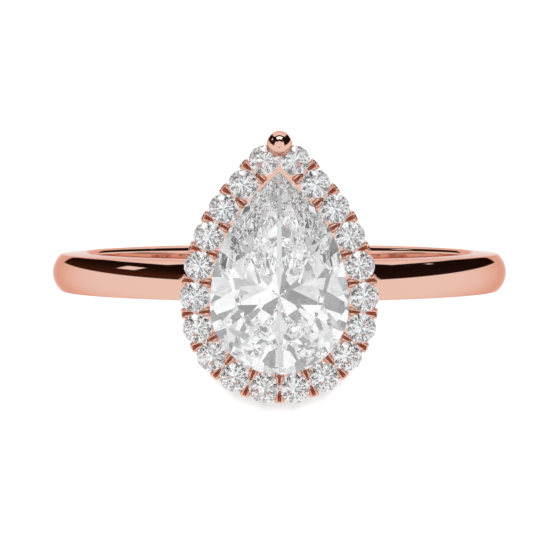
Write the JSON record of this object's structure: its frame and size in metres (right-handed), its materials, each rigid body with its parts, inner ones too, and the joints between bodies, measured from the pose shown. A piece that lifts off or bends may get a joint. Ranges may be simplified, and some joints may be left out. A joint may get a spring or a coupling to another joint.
{
  "type": "engagement ring",
  "caption": "Pear-cut diamond in a halo of small round diamonds, on a pegged openwork head over a plain domed rose gold band.",
  "frame": {"origin": "centre of the finger hole, on its axis and half way across the width of the shank", "axes": "+Y along the finger hole towards the point of the pear, +Z from the finger out to the centre stone"},
  "size_m": [0.0206, 0.0115, 0.0245],
  "materials": {
    "shank_gold": "high polish 14 carat rose gold",
    "head_gold": "polished 14 carat rose gold casting",
    "prong_gold": "bright-cut 14 carat rose gold",
    "centre_diamond": "colourless diamond, polished facets",
    "halo_diamond": "colourless diamond, polished facets"
  },
  "bodies": {
    "root": {"shank": "shank_gold", "head_peg": "head_gold", "saddle_bridge": "head_gold", "base_rail": "head_gold", "gallery_wire_1": "head_gold", "gallery_wire_2": "head_gold", "gallery_wire_3": "head_gold", "gallery_wire_4": "head_gold", "gallery_wire_5": "head_gold", "gallery_wire_6": "head_gold", "gallery_wire_7": "head_gold", "halo_plate": "head_gold", "centre_collet": "head_gold", "tip_claw": "prong_gold", "centre_stone": "centre_diamond", "prong_pair_01": "prong_gold", "prong_pair_02": "prong_gold", "prong_pair_03": "prong_gold", "prong_pair_04": "prong_gold", "prong_pair_05": "prong_gold", "prong_pair_06": "prong_gold", "prong_pair_07": "prong_gold", "prong_pair_08": "prong_gold", "prong_pair_09": "prong_gold", "prong_pair_10": "prong_gold", "prong_pair_11": "prong_gold", "prong_pair_12": "prong_gold", "prong_pair_13": "prong_gold", "prong_pair_14": "prong_gold", "prong_pair_15": "prong_gold", "prong_pair_16": "prong_gold", "prong_pair_17": "prong_gold", "prong_pair_18": "prong_gold", "prong_pair_19": "prong_gold", "halo_stone_01": "halo_diamond", "halo_stone_02": "halo_diamond", "halo_stone_03": "halo_diamond", "halo_stone_04": "halo_diamond", "halo_stone_05": "halo_diamond", "halo_stone_06": "halo_diamond", "halo_stone_07": "halo_diamond", "halo_stone_08": "halo_diamond", "halo_stone_09": "halo_diamond", "halo_stone_10": "halo_diamond", "halo_stone_11": "halo_diamond", "halo_stone_12": "halo_diamond", "halo_stone_13": "halo_diamond", "halo_stone_14": "halo_diamond", "halo_stone_15": "halo_diamond", "halo_stone_16": "halo_diamond", "halo_stone_17": "halo_diamond", "halo_stone_18": "halo_diamond", "halo_stone_19": "halo_diamond", "halo_stone_20": "halo_diamond"}
  },
  "joints": []
}
